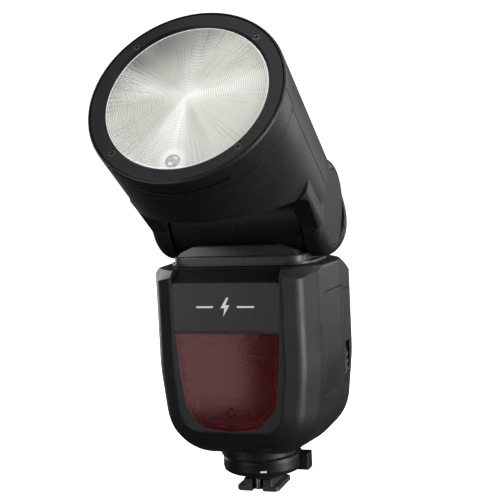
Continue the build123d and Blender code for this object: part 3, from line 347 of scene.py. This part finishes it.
def lathe(profile, segments):
    """Points and faces of a ring swept from (radius, height) corners, closed on itself or at the axis."""
    verts, faces = [], []
    for radius, height in profile:
        for step in range(segments):
            turn = 2 * math.pi * step / segments
            verts.append((radius * math.cos(turn), radius * math.sin(turn), height))
    for row in range(len(profile) - 1):
        for step in range(segments):
            after = (step + 1) % segments
            low, high = row * segments, (row + 1) * segments
            faces.append((low + step, low + after, high + after, high + step))
    return verts, faces


def solid_outlines(outlines, thick):
    """Points and faces of flat shapes, each a closed (u, v) outline, raised by a thickness."""
    verts, faces = [], []
    for shape in outlines:
        start = len(verts)
        count = len(shape)
        verts += [(u, v, 0.0) for u, v in shape]
        verts += [(u, v, thick) for u, v in shape]
        faces.append(tuple(start + i for i in reversed(range(count))))
        faces.append(tuple(start + count + i for i in range(count)))
        for i in range(count):
            j = (i + 1) % count
            faces.append((start + i, start + j, start + count + j, start + count + i))
    return verts, faces


def facing(origin, normal):
    """A frame whose Z is normal and whose Y is as near up as it can be, with its origin in metres."""
    z = Vector(normal).normalized()
    x = Vector((0, 0, 1)).cross(z).normalized()
    y = z.cross(x)
    turn = Matrix((x, y, z)).transposed().to_4x4()
    turn.translation = Vector(origin)
    return turn


def bar(u0, v0, u1, v1):
    return [(u0, v0), (u1, v0), (u1, v1), (u0, v1)]


def disc(u, v, radius, count):
    turns = [2 * math.pi * i / count for i in range(count)]
    return [(u + radius * math.cos(turn), v + radius * math.sin(turn)) for turn in turns]


def bolt(u, v, tall):
    """A plain lightning-flash sign."""
    left = [(0.10, 0.5), (-0.26, -0.06), (-0.03, -0.06), (-0.12, -0.5)]
    right = [(0.26, 0.10), (0.03, 0.10), (0.22, 0.5)]
    return [(u + x * tall, v + y * tall) for x, y in reversed(left + right)]


# ---- Places read from the parts -----------------------------------------
MOUNTS = {mount["name"]: mount for mount in RECORD["mounts"]}
LENS_AXIS = Vector(MOUNTS["accessory_face"]["axis"]).normalized()
RIM_CENTRE = Vector((0.0, *MOUNTS["accessory_face"]["pos_m"][1:]))
LENS_FRAME = facing(RIM_CENTRE, LENS_AXIS)
lamp_low, lamp_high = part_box("modelling_lamp")
LAMP_RISE = 0.4
LAMP_V = (LENS_FRAME.inverted() @ ((lamp_low + lamp_high) / 2)).y / MM + LAMP_RISE
RING_PITCH = 0.66
RINGS = 47
RIB_DEPTH = 0.10
RIB_DEPTH_GAIN = 0.16
LENS_R = 31.15
LENS_FLANGE_R = 32.4
LENS_TOP = -1.0
LENS_STEP = -3.8
LENS_BACK = -5.35
DOME_R = 2.8
DOME_RISE = 1.1
DOME_FOOT = LENS_TOP - 0.25


# ---- Materials for the parts --------------------------------------------
casing = moulded(
    "casing", (0.0085, 0.0085, 0.009), 0.44, 2600.0, 0.012, edge=0.35, worn=2.2, specular=0.36
)
trim = moulded("trim", (0.006, 0.006, 0.0065), 0.40, 3200.0, 0.005, edge=0.2, worn=2.2, specular=0.27)
FINISHES = {
    "casing": casing,
    "trim": trim,
    "window_red": window_material(),
    "lens": clear_material("lens_clear", (0.8, 0.82, 0.8), 0.05, 0.9),
    "display": moulded("display", (0.006, 0.006, 0.007), 0.12, 900.0, 0.001, edge=0.3, worn=1.3),
    "keys": moulded("keys", (0.028, 0.028, 0.030), 0.55, 2400.0, 0.01, edge=0.25),
    "rubber": moulded("rubber", (0.016, 0.016, 0.016), 0.72, 1500.0, 0.02, edge=0.3, specular=0.35),
    "foot_metal": moulded("foot_metal", (0.018, 0.018, 0.019), 0.42, 1800.0, 0.008, edge=0.25, worn=4.0),
    "steel": metal("steel", (0.42, 0.42, 0.43), 0.32),
    "contact_metal": metal("contact_metal", (0.83, 0.62, 0.30), 0.25),
    "mirror_bright": metal("mirror_bright", (0.88, 0.89, 0.90), 0.14, 300.0),
    "tube_glass": clear_material("tube_glass", (0.93, 0.95, 0.95), 0.03, 0.92),
    "inner_plastic": moulded("inner_plastic", (0.045, 0.045, 0.047), 0.5, 1400.0, 0.01),
    "boards": board_material(),
}
# Nodes whose finish differs from the one of their slot
NODE_FINISHES = {
    "window_baffle": moulded("baffle", (0.30, 0.27, 0.27), 0.5, 1400.0, 0.01),
    "badge_plate": moulded(
        "badge", (0.014, 0.014, 0.015), 0.40, 3000.0, 0.004, edge=0.25, worn=2.4, specular=0.4
    ),
    "bezel_screws": moulded("black_screw", (0.03, 0.03, 0.03), 0.3, 900.0, 0.003, edge=0.15, worn=3.0),
    "sensor_lens": moulded("sensor_glass", (0.05, 0.002, 0.004), 0.12, 900.0, 0.0005, specular=0.2),
    # Painted light: a lighter black than the casing, standing in for light on the swivel base's front
    "swivel_base": moulded("turret_painted_lighter", (0.030, 0.030, 0.031), 0.42, 2600.0, 0.010, edge=0.3, worn=1.8),
    "battery_latch": FINISHES["keys"],
}
for name, node in NODES.items():
    for index, old in enumerate(node.data.materials):
        slot_name = old.name.split(".")[0] if old else "casing"
        node.data.materials[index] = NODE_FINISHES.get(name, FINISHES.get(slot_name, casing))

white_ink = printed("white_ink", (0.86, 0.86, 0.86))
grey_ink = printed("grey_ink", (0.42, 0.42, 0.43))
# Red ink for the test key's sign, also the painted highlights behind the window
red_ink_and_painted_glint = printed("red_ink_and_painted_glint", (0.62, 0.012, 0.016))
lcd_grey = printed("lcd_grey", (0.16, 0.175, 0.155))
lcd_dark = printed("lcd_dark", (0.012, 0.013, 0.012))

# ---- Ribbed lens --------------------------------------------------------
profile = [(0.0, LENS_TOP - 0.02), (RING_PITCH * 0.5, LENS_TOP)]
for ring in range(1, RINGS):
    inner = RING_PITCH * ring
    profile.append((inner, LENS_TOP - RIB_DEPTH - RIB_DEPTH_GAIN * ring / RINGS))
    profile.append((inner + RING_PITCH * 0.22, LENS_TOP))
profile += [(LENS_R, LENS_TOP - 0.1), (LENS_R, LENS_STEP), (LENS_FLANGE_R, LENS_STEP)]
profile += [(LENS_FLANGE_R, LENS_BACK), (0.0, LENS_BACK)]
profile.reverse()
verts, faces = lathe(profile, 160)
lens = piece("ribbed_lens", verts, faces, lens_material(), "head", LENS_FRAME)
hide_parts("fresnel_lens")

# Small clear dome moulded into the lens over the modelling lamp
rises = [math.radians(angle) for angle in range(0, 91, 10)]
dome = [(DOME_R * math.cos(rise), DOME_FOOT + DOME_RISE * math.sin(rise)) for rise in rises]
verts, faces = lathe(dome, 48)
place = LENS_FRAME @ Matrix.Translation((0, LAMP_V * MM, 0))
dome_clear = clear_material("dome_clear", (0.75, 0.77, 0.76), 0.02, 0.85)
piece("lamp_dome", verts, faces, dome_clear, "head", place)

# ---- Printed marks ------------------------------------------------------
ARC_STEPS = 20
BODY_OF = {node: body for body, members in RECORD["behaviour"]["bodies"].items() for node in members}


def mark(name, node, place, shapes, ink, thick=0.04):
    """Thin printed or moulded shapes on a face, riding on the body of a node."""
    verts, faces = solid_outlines(shapes, thick)
    return piece(name, verts, faces, ink, BODY_OF[node], place, smooth=False)


def front_face(y):
    return facing((0, y, 0), (0, -1, 0))


def rear_face(y):
    """The rear face's frame, whose U runs to the left of a viewer at the front."""
    return facing((0, y, 0), (0, 1, 0))


def centre(node):
    """A node's middle in millimetres."""
    low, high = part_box(node)
    return (low + high) / 2 / MM


def arc(u, v, radius, width, start, end):
    """A band round part of a circle, between two angles in degrees."""
    turns = [math.radians(start + (end - start) * i / ARC_STEPS) for i in range(ARC_STEPS + 1)]
    within = radius - width
    outer = [(u + radius * math.cos(t), v + radius * math.sin(t)) for t in turns]
    inner = [(u + within * math.cos(t), v + within * math.sin(t)) for t in reversed(turns)]
    return outer + inner


# Generic sign on the badge plate
badge_v = centre("badge_plate").z
BAR_OUT = 8.5
BAR_HALF = 3.5
sign = [bolt(0, badge_v + 0.2, 7.4)]
for middle in (-BAR_OUT, BAR_OUT):
    sign.append(bar(middle - BAR_HALF, badge_v - 0.15, middle + BAR_HALF, badge_v + 0.55))
mark("front_sign", "badge_plate", front_face(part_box("badge_plate")[0].y), sign, white_ink, thick=0.05)

# Painted highlights: bright red bars for light catching the window's inner edge, and the dark stops
# moulded behind it
window_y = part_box("red_window")[0].y
glints = [
    bar(19.1, 67.6, 20.0, 70.2),
    bar(18.9, 59.0, 19.5, 64.4),
    bar(18.2, 50.6, 18.9, 54.6),
    bar(16.9, 43.6, 17.7, 47.6),
    bar(11.6, 36.2, 14.2, 36.8),
    bar(-6.0, 34.5, -1.6, 35.0),
    bar(2.0, 34.5, 7.6, 35.0),
]
mark("window_glints", "red_window", front_face(window_y + 1.65 * MM), glints, red_ink_and_painted_glint, 0.1)
stops = [bar(-20.0, top - 3.2, -18.4, top) for top in (70.2, 63.0, 55.6)]
stops += [bar(left, 69.4, left + 3.4, 70.9) for left in (-15.6, -8.2, -0.8, 6.6, 14.0)]
stops += [bar(17.4, top - 2.6, 18.8, top) for top in (66.0, 57.8)]
stops += [bar(-13.2, 38.5, -7.6, 46.8), bar(-6.2, 38.0, -2.4, 46.2), bar(2.4, 38.0, 7.0, 46.2)]
mark("window_stops", "red_window", front_face(window_y + 1.75 * MM), stops, trim, 0.1)

# Display: a plain pale field with level bars, a scale and a battery sign
lcd_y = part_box("lcd_window")[1].y
lcd_v = centre("lcd_window").z
PRINT_THICK = 0.02
SCALE_HALF = 17.0
field = [bar(-20.5, lcd_v - 11.0, 20.5, lcd_v + 11.0)]
mark("display_field", "lcd_window", rear_face(lcd_y), field, lcd_grey, PRINT_THICK)
scale = [bar(-SCALE_HALF, lcd_v - 8.2, SCALE_HALF, lcd_v - 7.7)]
for i in range(11):
    tick_u = -SCALE_HALF + SCALE_HALF / 5 * i
    tick_end = lcd_v - (5.2 if i % 5 == 0 else 6.2)
    scale.append(bar(tick_u - 0.2, lcd_v - 7.7, tick_u + 0.2, tick_end))
levels = [bar(-2.0 + 3.0 * i, lcd_v - 2.6, 0.2 + 3.0 * i, lcd_v - 1.4 + 0.9 * i) for i in range(6)]
battery = [bar(9.6, lcd_v + 6.0, 16.6, lcd_v + 9.0), bar(16.8, lcd_v + 6.9, 17.4, lcd_v + 8.1)]
signs = [bolt(-13.6, lcd_v + 2.0, 10.0)]
signs += [bar(-8.0, lcd_v + 7.2, 4.0, lcd_v + 7.9), bar(-8.0, lcd_v + 5.6, 0.0, lcd_v + 6.3)]
shown = scale + levels + battery + signs
signs_face = rear_face(lcd_y + PRINT_THICK * MM)
mark("display_signs", "lcd_window", signs_face, shown, lcd_dark, PRINT_THICK)

# Signs on the keys, each on its key's rear face or on the floor of the dish in it
DISH = 0.17
DOT_STEP = 1.5
PIP_CIRCLE = 8.6


def key_sign(name, key, shapes, ink, dish=0.0):
    mark(name, key, rear_face(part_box(key)[1].y - dish * MM), shapes, ink)


def key_middle(key):
    """A key's middle in the rear face's (u, v)."""
    spot = centre(key)
    return -spot.x, spot.z


for number in range(1, 5):
    node = f"function_button_{number}"
    u, v = key_middle(node)
    dots = [disc(u + (i - (number - 1) / 2) * DOT_STEP, v, 0.42, 16) for i in range(number)]
    key_sign(f"{node}_sign", node, dots, grey_ink)
u, v = key_middle("mode_button")
loop = [arc(u, v, 1.4, 0.4, 60, 330), bar(u + 0.5, v - 0.1, u + 1.5, v + 0.3)]
key_sign("mode_sign", "mode_button", loop, grey_ink, DISH)
u, v = key_middle("test_button")
key_sign("test_sign", "test_button", [bolt(u, v, 3.0)], red_ink_and_painted_glint, DISH)
u, v = key_middle("power_button")
power = [arc(u, v, 1.1, 0.3, 120, 420), bar(u - 0.15, v + 0.3, u + 0.15, v + 1.3)]
key_sign("power_sign", "power_button", power, white_ink)
key_sign("set_sign", "set_button", [disc(0, centre("set_button").z, 0.8, 20)], grey_ink)
dial_v = centre("dial").z
turns = [math.radians(angle) for angle in range(0, 360, 45)]
pips = [disc(PIP_CIRCLE * math.cos(t), dial_v + PIP_CIRCLE * math.sin(t), 0.4, 12) for t in turns]
key_sign("dial_pips", "dial", pips, grey_ink)

# White index mark on the lock ring's rim: a curved bar with four points at each of its stations
RIM_R = -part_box("lock_ring")[0].y / MM
INDEX_START = 13.5
INDEX_STEP = 1.5
INDEX_STEPS = 6
INDEX_LOW = 10.0
INDEX_HIGH = 10.7
verts, faces = [], []
for step in range(INDEX_STEPS + 1):
    turn = math.radians(INDEX_START + INDEX_STEP * step)
    for radius in (RIM_R - 0.05, RIM_R + 0.03):
        for height in (INDEX_LOW, INDEX_HIGH):
            verts.append((radius * math.sin(turn), -radius * math.cos(turn), height))
for step in range(INDEX_STEPS):
    a, b = 4 * step, 4 * (step + 1)
    faces += [(a + 2, b + 2, b + 3, a + 3), (a, a + 1, b + 1, b)]
    faces += [(a + 1, a + 3, b + 3, b + 1), (a, b, b + 2, a + 2)]
last = 4 * INDEX_STEPS
faces += [(0, 2, 3, 1), (last, last + 1, last + 3, last + 2)]
piece("ring_index", verts, faces, white_ink, BODY_OF["lock_ring"], smooth=False)

# ---- Floor, lights, camera ----------------------------------------------
def stage_piece(name, verts, faces, material):
    mesh = bpy.data.meshes.new(name)
    mesh.from_pydata(verts, [], faces)
    mesh.update()
    mesh.materials.append(material)
    made = bpy.data.objects.new(name, mesh)
    bpy.context.scene.collection.objects.link(made)
    return made


paper = Shader("paper")
paper.set(Base_Color=paper.mix(paper.noise(3.0), (0.90, 0.90, 0.90), (0.93, 0.93, 0.93)), Roughness=0.8)
paper.set(Emission_Color=(1, 1, 1, 1), Emission_Strength=1.1)
FLOOR_Z = cad_box[0].z - 0.0002
SPAN = 6.0
corners = [(-SPAN, -SPAN, FLOOR_Z), (SPAN, -SPAN, FLOOR_Z), (SPAN, SPAN, FLOOR_Z), (-SPAN, SPAN, FLOOR_Z)]
floor = stage_piece("floor", corners, [(0, 1, 2, 3)], paper.material)
floor.visible_diffuse = False
floor.visible_glossy = False
floor.visible_shadow = False

world = bpy.data.worlds.new("studio")
bpy.context.scene.world = world
world.use_nodes = True
tree = world.node_tree
tree.nodes.clear()
seen = tree.nodes.new("ShaderNodeBackground")
seen.inputs["Color"].default_value = (1.0, 1.0, 1.0, 1.0)
seen.inputs["Strength"].default_value = 1.3
fill = tree.nodes.new("ShaderNodeBackground")
fill.inputs["Color"].default_value = (0.96, 0.98, 1.0, 1.0)
fill.inputs["Strength"].default_value = 0.045
path = tree.nodes.new("ShaderNodeLightPath")
choose = tree.nodes.new("ShaderNodeMixShader")
final = tree.nodes.new("ShaderNodeOutputWorld")
tree.links.new(path.outputs["Is Camera Ray"], choose.inputs[0])
tree.links.new(fill.outputs[0], choose.inputs[1])
tree.links.new(seen.outputs[0], choose.inputs[2])
tree.links.new(choose.outputs[0], final.inputs[0])

AIM = Vector((-1.358, 0.0, 101.605)) * MM


def softbox(name, location, size, energy):
    """A rectangular lamp aimed at the object's middle, unseen by the camera."""
    data = bpy.data.lights.new(name, "AREA")
    data.shape = "RECTANGLE"
    data.size, data.size_y = size
    data.energy = energy
    made = bpy.data.objects.new(name, data)
    bpy.context.scene.collection.objects.link(made)
    made.location = location
    made.rotation_euler = (AIM - Vector(location)).to_track_quat("-Z", "Y").to_euler()
    made.visible_camera = False


softbox("key_left", (-0.62, -0.95, 0.80), (0.55, 0.55), 9.6)
softbox("window_glow", (-0.635, -1.10, 0.015), (0.52, 0.52), 2.3)
softbox("side_right", (1.10, -0.14, 0.20), (0.42, 1.1), 19.0)
softbox("front_right", (1.06, -0.56, 0.30), (0.20, 1.1), 1.8)
softbox("overhead", (0.05, -0.20, 1.20), (0.7, 0.5), 4.5)
softbox("back_left", (-0.95, 0.60, 0.35), (0.30, 1.0), 6.0)
softbox("back_right", (0.80, 0.95, 0.45), (0.5, 1.0), 7.0)

AZIMUTH = math.radians(18.752)
ELEVATION = math.radians(4.749)
ROLL = math.radians(2.842)
DISTANCE = 457.333 * MM
back = Vector((
    math.sin(AZIMUTH) * math.cos(ELEVATION),
    -math.cos(AZIMUTH) * math.cos(ELEVATION),
    math.sin(ELEVATION),
))
right = (-back).cross(Vector((0, 0, 1))).normalized()
up = right.cross(-back)
camera_x = right * math.cos(ROLL) - up * math.sin(ROLL)
camera_y = right * math.sin(ROLL) + up * math.cos(ROLL)
data = bpy.data.cameras.new("camera")
data.sensor_width = 36.0
data.lens = 77.62
data.clip_start = 0.01
camera = bpy.data.objects.new("camera", data)
bpy.context.scene.collection.objects.link(camera)
pose = Matrix((camera_x, camera_y, back)).transposed().to_4x4()
pose.translation = AIM + back * DISTANCE
camera.matrix_world = pose
bpy.context.scene.camera = camera
bpy.context.scene.view_settings.view_transform = "Standard"
